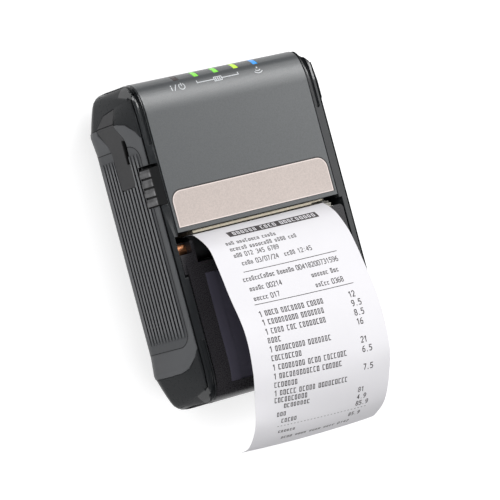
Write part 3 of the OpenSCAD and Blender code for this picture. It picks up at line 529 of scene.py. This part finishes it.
def smooth_group():
    """Geometry nodes that join the facets of round faces and shade them smooth."""
    g = bpy.data.node_groups.new("smooth_by_angle", "GeometryNodeTree")
    g.interface.new_socket("Geometry", in_out="INPUT", socket_type="NodeSocketGeometry")
    g.interface.new_socket("Geometry", in_out="OUTPUT", socket_type="NodeSocketGeometry")
    start = g.nodes.new("NodeGroupInput")
    end = g.nodes.new("NodeGroupOutput")
    merge = g.nodes.new("GeometryNodeMergeByDistance")
    merge.inputs["Distance"].default_value = 2e-6
    faces = g.nodes.new("GeometryNodeSetShadeSmooth")
    faces.domain = "FACE"
    angle = g.nodes.new("GeometryNodeInputMeshEdgeAngle")
    sharp = g.nodes.new("FunctionNodeCompare")
    sharp.data_type = "FLOAT"
    sharp.operation = "GREATER_THAN"
    sharp.inputs[1].default_value = math.radians(SMOOTH_ANGLE)
    edges = g.nodes.new("GeometryNodeSetShadeSmooth")
    edges.domain = "EDGE"
    edges.inputs["Shade Smooth"].default_value = False
    g.links.new(start.outputs[0], merge.inputs["Geometry"])
    g.links.new(merge.outputs["Geometry"], faces.inputs["Geometry"])
    g.links.new(faces.outputs["Geometry"], edges.inputs["Geometry"])
    g.links.new(angle.outputs["Unsigned Angle"], sharp.inputs[0])
    g.links.new(sharp.outputs[0], edges.inputs["Selection"])
    g.links.new(edges.outputs["Geometry"], end.inputs[0])
    return g


def set_material(o, mat):
    for slot in o.material_slots:
        slot.material = mat
    if not o.material_slots:
        o.data.materials.append(mat)


def finish_solid(o, group, angle):
    """Smooth shading and a small bevel on edges sharper than the angle."""
    o.modifiers.new("smooth", "NODES").node_group = group
    edge = o.modifiers.new("edge", "BEVEL")
    edge.width = BEVEL_WIDTH * MM
    edge.segments = 2
    edge.limit_method = "ANGLE"
    edge.angle_limit = math.radians(angle)
    edge.miter_outer = "MITER_ARC"
    o.modifiers.new("normals", "WEIGHTED_NORMAL").keep_sharp = True


def finish_solids():
    group = smooth_group()
    for name, o in nodes.items():
        set_material(o, MAT[slot_of[name]])
        finish_solid(o, group, MOULDED_BEVEL_ANGLE if name in MOULDED else BEVEL_ANGLE)
    # The pins' ends show at the lower corners, so they are blackened
    set_material(nodes["hinge_pins"], MAT["screw_black"])


finish_solids()


# Mesh helpers
def mesh_piece(name, verts, faces, body, mat, smooth=False):
    me = bpy.data.meshes.new(name)
    me.from_pydata([tuple(c * MM for c in v) for v in verts], [], faces)
    me.materials.append(MAT[mat])
    if smooth:
        me.polygons.foreach_set("use_smooth", [True] * len(me.polygons))
    me.update()
    o = bpy.data.objects.new(name, me)
    bpy.context.scene.collection.objects.link(o)
    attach(o, body)
    return o


class Decals:
    """Flat printed shapes laid on a surface that maps (u, v) and a lift to a point."""

    def __init__(self, surface, lift):
        self.surface = surface
        self.lift = lift
        self.verts = []
        self.faces = []

    def quad(self, corners):
        n = len(self.verts)
        self.verts += [self.surface(u, v, self.lift) for u, v in corners]
        self.faces.append(tuple(range(n, n + len(corners))))

    def bar(self, u0, v0, u1, v1, step=1.0):
        """Rectangle cut into cells, so that it follows a surface curved along v."""
        nu = max(1, math.ceil(abs(u1 - u0) / (6 * step)))
        nv = max(1, math.ceil(abs(v1 - v0) / step))
        for i in range(nu):
            for j in range(nv):
                a = u0 + (u1 - u0) * i / nu
                b = u0 + (u1 - u0) * (i + 1) / nu
                c = v0 + (v1 - v0) * j / nv
                d = v0 + (v1 - v0) * (j + 1) / nv
                self.quad([(a, c), (b, c), (b, d), (a, d)])

    def stroke(self, points, width, closed=False):
        """Line through the points, cut into cells of at most 1 mm. Its parts overlap at the corners."""
        pts = [Vector(p) for p in points]
        if closed:
            pts.append(pts[0])
        for a, b in zip(pts, pts[1:]):
            d = b - a
            n = max(1, math.ceil(d.length))
            overlap = d.normalized() * width * 0.3
            side = Vector((-d.y, d.x)).normalized() * width / 2
            for i in range(n):
                p = a + d * i / n
                q = a + d * (i + 1) / n
                if i == 0:
                    p = p - overlap
                if i == n - 1:
                    q = q + overlap
                self.quad([tuple(p + side), tuple(q + side), tuple(q - side), tuple(p - side)])

    def build(self, name, body, slot):
        o = mesh_piece(name, self.verts, self.faces, body, slot)


def arc_points(cx, cy, r, start, end, n):
    """Points along an arc that runs between two angles in degrees."""
    points = []
    for i in range(n + 1):
        a = math.radians(start + (end - start) * i / n)
        points.append((cx + r * math.cos(a), cy + r * math.sin(a)))
    return points


# Receipt: its lines down the middle and both edges as (y, z), from the nip to the free end
HALF_PAPER = 28.75
HALF_THICK = 0.045
STRIP_MID = [(1.08, 35.7), (1.05, 38.5), (0.7, 41.5), (-3, 46.8), (-6.5, 49.8), (-12.5, 52.5), (-25, 56.5),
             (-38, 59), (-52, 58), (-61.5, 54.5), (-71, 48), (-76, 43), (-78.5, 37.5), (-79.3, 33)]
STRIP_LEFT = [(1.08, 35.7), (1.05, 38.5), (0.6, 41.9), (-5.5, 49.5), (-13.2, 52.2), (-22.9, 54.5),
              (-37.7, 58.4), (-51.6, 56.8), (-61.9, 52.8), (-69.4, 49.5), (-74.3, 45), (-77.2, 40.4),
              (-78, 35.6)]
STRIP_RIGHT = [(1.08, 35.7), (1.05, 38.5), (0.7, 41.2), (-2.8, 46.5), (-6.8, 49.8), (-12.5, 53),
               (-25.6, 56.9), (-37.8, 59.5), (-53.2, 58.9), (-61.3, 55.8), (-73.1, 47.3), (-78.4, 37.8),
               (-79.2, 32.3)]
STRIP_SPANS = 240
SMOOTH_STEPS = 30


def distances(points):
    """Distance along a line of points, from the first one to each."""
    run = [0.0]
    for a, b in zip(points, points[1:]):
        run.append(run[-1] + (b - a).length)
    return run


def smooth_line(points):
    """Many points along a smooth curve through the given ones."""
    pts = [Vector(p) for p in points]
    d = distances(pts)
    last = len(pts) - 1

    def slope(k):
        before = max(k - 1, 0)
        after = min(k + 1, last)
        return (pts[after] - pts[before]) / (d[after] - d[before])

    line = []
    for i in range(last):
        h = d[i + 1] - d[i]
        for j in range(SMOOTH_STEPS):
            t = j / SMOOTH_STEPS
            line.append((1 + 2 * t) * (1 - t) ** 2 * pts[i] + t * (1 - t) ** 2 * h * slope(i)
                        + t * t * (3 - 2 * t) * pts[i + 1] + t * t * (t - 1) * h * slope(i + 1))
    line.append(pts[-1])
    return line


def even_line(points):
    """Points at even spacing along a smooth curve through the given ones, and its length."""
    fine = smooth_line(points)
    run = distances(fine)
    out = []
    k = 0
    for i in range(STRIP_SPANS + 1):
        s = run[-1] * i / STRIP_SPANS
        while k < len(run) - 2 and run[k + 1] < s:
            k += 1
        f = (s - run[k]) / max(run[k + 1] - run[k], 1e-9)
        out.append(fine[k].lerp(fine[k + 1], f))
    return out, run[-1]


MID, STRIP_LEN = even_line(STRIP_MID)
EDGE_L = even_line(STRIP_LEFT)[0]
EDGE_R = even_line(STRIP_RIGHT)[0]


def strip_at(x, s):
    """Point at x across the paper and s along it, on a parabola through the three lines."""
    i = min(max(s / STRIP_LEN, 0.0), 1.0) * STRIP_SPANS
    k = min(int(i), STRIP_SPANS - 1)
    f = i - k
    left, mid, right = (line[k].lerp(line[k + 1], f) for line in (EDGE_L, MID, EDGE_R))
    t = x / HALF_PAPER
    q = left * (t * t - t) / 2 + mid * (1 - t * t) + right * (t * t + t) / 2
    return Vector((x, q.x, q.y))


def strip_surface(x, s, lift):
    """The same point, lifted off the middle of the paper."""
    p = strip_at(x, s)
    du = strip_at(min(x + 0.5, HALF_PAPER), s) - strip_at(max(x - 0.5, -HALF_PAPER), s)
    ds = strip_at(x, min(s + 0.5, STRIP_LEN)) - strip_at(x, max(s - 0.5, 0.0))
    n = ds.cross(du).normalized()
    return p + n * lift


def sheet_faces(rows, cols):
    """Faces of a closed sheet whose lower grid of points follows the upper one."""
    w = cols + 1
    m = (rows + 1) * w
    faces = []
    for i in range(rows):
        for j in range(cols):
            a = i * w + j
            faces.append((a, a + w, a + w + 1, a + 1))
            faces.append((m + a, m + a + 1, m + a + w + 1, m + a + w))
    rim = []
    for i in range(rows):
        rim.append((i * w, (i + 1) * w, True))
        rim.append((i * w + cols, (i + 1) * w + cols, False))
    for j in range(cols):
        rim.append((j, j + 1, True))
        rim.append((rows * w + j, rows * w + j + 1, False))
    for a, b, down in rim:
        faces.append((a, m + a, m + b, b) if down else (a, b, m + b, m + a))
    return faces


def make_receipt():
    rows = 200
    cols = 28
    verts = []
    for side in (HALF_THICK, -HALF_THICK):
        for i in range(rows + 1):
            for j in range(cols + 1):
                x = -HALF_PAPER + 2 * HALF_PAPER * j / cols
                verts.append(strip_surface(x, STRIP_LEN * i / rows, side))
    o = mesh_piece("receipt_strip_printed", verts, sheet_faces(rows, cols), "receipt_strip", "paper_white",
                   smooth=True)
    o.data.set_sharp_from_angle(angle=math.radians(50))
    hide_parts("receipt")


make_receipt()

# Digits as strokes on a grid two wide and four high
DIGITS = {
    "0": [[(0.3, 0), (0, 0.6), (0, 3.4), (0.4, 4), (1.6, 4), (2, 3.4), (2, 0.6), (1.6, 0), (0.3, 0)]],
    "1": [[(0.3, 3.2), (1.2, 4), (1.2, 0)]],
    "2": [[(0, 3.3), (0.5, 4), (1.5, 4), (2, 3.3), (2, 2.6), (0, 0), (2, 0)]],
    "3": [[(0, 3.7), (0.6, 4), (1.5, 4), (2, 3.4), (2, 2.6), (1.2, 2.1), (2, 1.5), (2, 0.6), (1.5, 0),
           (0, 0)]],
    "4": [[(1.5, 0), (1.5, 4), (0, 1.2), (2, 1.2)]],
    "5": [[(2, 4), (0.2, 4), (0.1, 2.3), (1.4, 2.4), (2, 1.7), (2, 0.7), (1.4, 0), (0, 0.1)]],
    "6": [[(1.8, 4), (0.7, 3.6), (0, 2.2), (0, 0.7), (0.5, 0), (1.5, 0), (2, 0.7), (2, 1.6), (1.5, 2.2),
           (0.1, 2)]],
    "7": [[(0, 4), (2, 4), (0.8, 0)]],
    "8": [[(0.6, 2.1), (0, 1.5), (0, 0.6), (0.5, 0), (1.5, 0), (2, 0.6), (2, 1.5), (1.4, 2.1), (0.6, 2.1),
           (0.1, 2.7), (0.1, 3.5), (0.6, 4), (1.4, 4), (1.9, 3.5), (1.9, 2.7), (1.4, 2.1)]],
    "9": [[(0.2, 0), (1.3, 0.3), (2, 1.8), (2, 3.3), (1.5, 4), (0.5, 4), (0, 3.3), (0, 2.4), (0.5, 1.8),
           (1.9, 2)]],
    ".": [[(0.8, 0), (1.1, 0)]],
    ":": [[(0.9, 0.8), (1.1, 0.8)], [(0.9, 2.8), (1.1, 2.8)]],
    "/": [[(0, -0.3), (2, 4.2)]],
}

# How each group of lines is set: height and spacing of words, then of figures, and their stroke
Style = namedtuple("Style", "high pitch figure_high figure_pitch stroke", defaults=(None, None, None))
HEADING = Style(1.9, 1.75)
ADDRESS = Style(1.6, 1.22, 1.6, 1.22, 0.26)
DATE = Style(1.7, 1.22, 1.7, 1.22, 0.26)
NUMBERS = Style(1.8, 1.2, 1.8, 1.3, 0.28)
STORE = Style(1.8, 1.22, 1.8, 1.3, 0.28)
ITEM = Style(2.0, 1.42, 2.0, 1.45, 0.34)
SUM = Style(1.7, 1.42, 1.8, 1.4, 0.30)
CHANGE = Style(1.5, 1.3, 1.6, 1.35, 0.28)
FOOT = Style(1.4, 1.3, 1.4, 1.35, 0.28)

INK_LIFT = 0.075
LIGHT_LIFT = 0.10
DRAW = random.Random(7)


def figures(ink, x, s, text, style):
    """Plain figures centred on s, reading towards +X. Returns where they end."""
    cell = style.figure_high / 4
    foot = s + style.figure_high / 2
    for i, c in enumerate(text):
        left = x + i * style.figure_pitch
        for line in DIGITS.get(c, []):
            ink.stroke([(left + u * cell * 0.95, foot - v * cell) for u, v in line], style.stroke)
    return x + len(text) * style.figure_pitch


def word(ink, x, s, letters, style, tall):
    """A word as small blocks, one for each letter, that can't be read. Returns where it ends."""
    foot = s + style.high / 2
    for i in range(letters):
        head = foot - (style.high if tall or DRAW.random() < 0.25 else style.high * 0.72)
        wide = style.pitch * (0.62 + 0.12 * DRAW.random())
        a = x + i * style.pitch
        ink.bar(a, head, a + wide, head + style.high * 0.16)
        ink.bar(a, foot - style.high * 0.15, a + wide, foot)
        ink.bar(a, head, a + wide * 0.34, foot)
        if DRAW.random() < 0.7:
            ink.bar(a + wide * 0.68, head, a + wide, foot)
    return x + letters * style.pitch


def words(ink, x, s, counts, style, tall=False, gap_shade=1.0):
    """Words of these numbers of letters. Returns where the next thing starts."""
    for letters in counts:
        x = word(ink, x, s, letters, style, tall) + gap_shade
    return x


def print_heading(ink, light):
    """A dark bar with light blocks in it."""
    ink.bar(-17.5, 10.0, 21.2, 13.2, 0.5)
    words(light, -15.5, 11.6, (6, 4, 9), HEADING, True, 1.4)


def print_address(ink):
    first = 16.2
    for s, counts in ((first, (3, 8, 5)), (18.9, (6, 8, 4, 3)), (21.6, (3,))):
        x = words(ink, -21.4 + (s - first) * 0.12, s, counts, ADDRESS)
    figures(ink, x, s, "012 345 6789", ADDRESS)


def print_date(ink):
    s = 25.0
    x = words(ink, -18.9, s, (4,), DATE)
    x = figures(ink, x, s, "03/07/24", DATE) + 2.2
    x = words(ink, x, s, (4,), DATE)
    figures(ink, x, s, "12:45", DATE)


def print_store(ink):
    x = words(ink, -21.2, 31.2, (11, 6), NUMBERS, gap_shade=0.9)
    figures(ink, x, 31.2, "00418200731596", NUMBERS)
    for s, left, counts, right in ((35.1, "00214", (6, 3), ""), (39.0, "017", (5,), "0368")):
        x = words(ink, -20.2, s, (5,), STORE, gap_shade=0.9)
        figures(ink, x, s, left, STORE)
        x = words(ink, 5.6, s, counts, STORE, gap_shade=0.9)
        figures(ink, x, s, right, STORE)


def print_items(ink):
    """Items: a figure, words and an amount."""
    rows = ((45.1, "1", (4, 7, 5), "12"), (48.4, "1", (9, 7), "9.5"), (51.8, "1", (4, 3, 8), "8.5"),
            (55.1, "", (4,), "16"), (58.3, "1", (9, 7), ""), (61.6, "", (9,), "21"),
            (65.0, "1", (8, 4, 7), "6.5"), (68.3, "1", (12, 6), ""), (71.6, "", (7,), "7.5"),
            (74.8, "1", (5, 5, 9), ""), (77.6, "", (10,), ""))
    for s, count, counts, amount in rows:
        x = -20.6
        if count:
            x = figures(ink, x, s, count, ITEM) + 0.8
        words(ink, x, s, counts, ITEM, True)
        figures(ink, 17.2, s, amount, ITEM)


def print_sums(ink):
    for s, x, letters, amount in ((80.3, -16.6, 8, "81"), (83.4, -19.5, 3, "4.9"), (86.3, -17.3, 5, "85.9")):
        word(ink, x, s, letters, SUM, True)
        figures(ink, 15.6, s, amount, SUM)


def print_dotted_rule(faint):
    for i in range(27):
        faint.bar(-18.8 + i * 1.48, 88.4, -18.1 + i * 1.48, 88.65)


def print_foot(ink):
    word(ink, -17.8, 91.0, 6, CHANGE, False)
    figures(ink, 13.6, 91.0, "85.9", CHANGE)
    s = 95.0
    x = words(ink, -15.3, s, (4,), FOOT, True, 1.2)
    x = words(ink, x, s, (4, 4, 4), FOOT._replace(high=1.1), True, 1.2)
    figures(ink, x, s, "0142", FOOT)


def make_print():
    """The pieces are printed from the nip on, because each letter takes the next random draws."""
    ink = Decals(strip_surface, INK_LIFT)
    faint = Decals(strip_surface, INK_LIFT)
    light = Decals(strip_surface, LIGHT_LIFT)
    print_heading(ink, light)
    print_address(ink)
    print_date(ink)
    ink.bar(-19.8, 28.3, 19.8, 28.55)
    print_store(ink)
    ink.bar(-20.9, 41.2, 20.9, 41.45)
    print_items(ink)
    print_sums(ink)
    print_dotted_rule(faint)
    print_foot(ink)
    ink.build("receipt_print", "receipt_strip", "thermal_ink")
    faint.build("receipt_dotted_rule", "receipt_strip", "faint_ink")
    light.build("receipt_heading_blocks", "receipt_strip", "paper_white")


make_print()

# Symbols on the panel's long curve at its upper end
SLOW_Y = PANEL_Y1 - TIGHT_R - (SLOW_R - TIGHT_R) * math.cos(math.radians(SLOW_ANGLE))
SLOW_Z = FRONT_Z - SLOW_R
SYMBOL_LIFT = 0.03
LINE = 0.34


def panel_surface(x, v, lift):
    """v is the distance along the curve from where it starts."""
    a = v / SLOW_R
    r = SLOW_R + lift
    return Vector((x, SLOW_Y + r * math.sin(a), SLOW_Z + r * math.cos(a)))


def along_curve(y):
    return SLOW_R * math.asin((y - SLOW_Y) / SLOW_R)


def status_symbols(d, v):
    """An i, a stroke and the power symbol."""
    letter_x = -21.3
    power_x = -16.9
    d.stroke([(letter_x, v - 0.75), (letter_x, v + 0.45)], LINE + 0.08)
    d.stroke([(letter_x, v + 1.05), (letter_x, v + 1.25)], LINE + 0.12)
    d.stroke([(-20.2, v - 0.9), (-19.1, v + 1.35)], LINE)
    d.stroke(arc_points(power_x, v + 0.2, 1.2, 125, 415, 16), LINE)
    d.stroke([(power_x, v + 0.4), (power_x, v + 1.65)], LINE)


def battery_symbol(d, v):
    """A bracket under three lights with a small cell in the middle."""
    d.stroke([(-10.2, v + 0.9), (-10.2, v), (-3.2, v)], LINE)
    d.stroke([(0.9, v), (7.6, v), (7.6, v + 0.9)], LINE)
    d.stroke([(-2.9, v - 0.8), (-2.9, v + 0.8), (0.3, v + 0.8), (0.3, v - 0.8)], 0.3, True)
    for k in range(3):
        d.bar(-2.4 + k * 0.85, v - 0.5, -1.95 + k * 0.85, v + 0.5)
    d.bar(0.35, v - 0.4, 0.7, v + 0.4)


def wireless_symbol(d, v):
    """A dot over two arcs."""
    x = 16.2
    d.bar(15.9, v + 0.9, 16.5, v + 1.5)
    d.stroke(arc_points(x, v + 1.2, 1.35, 225, 315, 6), LINE)
    d.stroke(arc_points(x, v + 1.2, 2.3, 225, 315, 8), LINE)


def make_symbols():
    d = Decals(panel_surface, SYMBOL_LIFT)
    status_symbols(d, along_curve(53.0))
    battery_symbol(d, along_curve(53.3))
    wireless_symbol(d, along_curve(53.2))
    d.build("panel_symbols", "case", "icon_white")


make_symbols()

# Stage and light
FLOOR_DROP = 0.05
FLOOR_GREY = (0.50, 0.50, 0.505)
FLOOR_GLOW = 0.72
WORLD_LEVEL = 0.10

# Area lamps in metres and watts: place, target, width and height, power
LAMPS = {
    "key": ((0.86, 0.76, 1.10), (0, 0, 0.03), (1.2, 0.35), 15.0),
    "top": ((-0.25, -0.75, 1.5), (0, 0, 0.03), (1.1, 0.7), 12.0),
    "right": ((1.16, 0.0, 1.13), (0, 0, 0.03), (0.9, 0.8), 5.0),
    "left": ((-1.1, 0.45, 0.85), (0, 0, 0.02), (0.6, 0.5), 6.5),
}


def mix_shader(tree, fac, a, b):
    n = tree.nodes.new("ShaderNodeMixShader")
    for socket, source in zip(n.inputs, (fac, a, b)):
        tree.links.new(source, socket)
    return n.outputs[0]


def floor_material():
    """Pale floor that the camera and reflections see brighter, and that is clear from below."""
    tree, bsdf = new_material("floor_pale")
    bsdf.inputs["Base Color"].default_value = FLOOR_GREY + (1,)
    bsdf.inputs["Roughness"].default_value = 0.9
    emit = tree.nodes.new("ShaderNodeEmission")
    emit.inputs["Strength"].default_value = FLOOR_GLOW
    bright = tree.nodes.new("ShaderNodeAddShader")
    tree.links.new(bsdf.outputs[0], bright.inputs[0])
    tree.links.new(emit.outputs[0], bright.inputs[1])
    path = tree.nodes.new("ShaderNodeLightPath")
    seen = larger(tree, path.outputs["Is Camera Ray"], path.outputs["Is Glossy Ray"])
    seen = larger(tree, seen, path.outputs["Is Transmission Ray"])
    top = mix_shader(tree, seen, bsdf.outputs[0], bright.outputs[0])
    clear = tree.nodes.new("ShaderNodeBsdfTransparent")
    side = tree.nodes.new("ShaderNodeNewGeometry")
    both = mix_shader(tree, side.outputs["Backfacing"], top, clear.outputs[0])
    tree.links.new(both, node_of(tree, "OUTPUT_MATERIAL").inputs[0])


def make_floor():
    bm = bmesh.new()
    bmesh.ops.create_grid(bm, x_segments=1, y_segments=1, size=4.0)
    me = bpy.data.meshes.new("floor")
    bm.to_mesh(me)
    bm.free()
    floor = bpy.data.objects.new("floor", me)
    floor.location.z = -FLOOR_DROP * MM
    bpy.context.scene.collection.objects.link(floor)
    floor_material()
    me.materials.append(MAT["floor_pale"])


def make_lamp(name, place, target, size, power):
    d = bpy.data.lights.new(name, "AREA")
    d.shape = "RECTANGLE"
    d.size = size[0]
    d.size_y = size[1]
    d.energy = power
    o = bpy.data.objects.new(name, d)
    aim = (Vector(target) - Vector(place)).to_track_quat("-Z", "Y")
    o.matrix_world = Matrix.Translation(place) @ aim.to_matrix().to_4x4()
    bpy.context.scene.collection.objects.link(o)


def make_world():
    w = bpy.data.worlds.new("studio")
    bpy.context.scene.world = w
    w.use_nodes = True
    tree = w.node_tree
    tree.nodes.clear()
    out = tree.nodes.new("ShaderNodeOutputWorld")
    bg = tree.nodes.new("ShaderNodeBackground")
    bg.inputs[0].default_value = (1, 1, 1, 1)
    bg.inputs[1].default_value = WORLD_LEVEL
    tree.links.new(bg.outputs[0], out.inputs[0])


make_floor()
make_world()
for name, values in LAMPS.items():
    make_lamp(name, *values)
bpy.context.scene.view_settings.view_transform = "Standard"
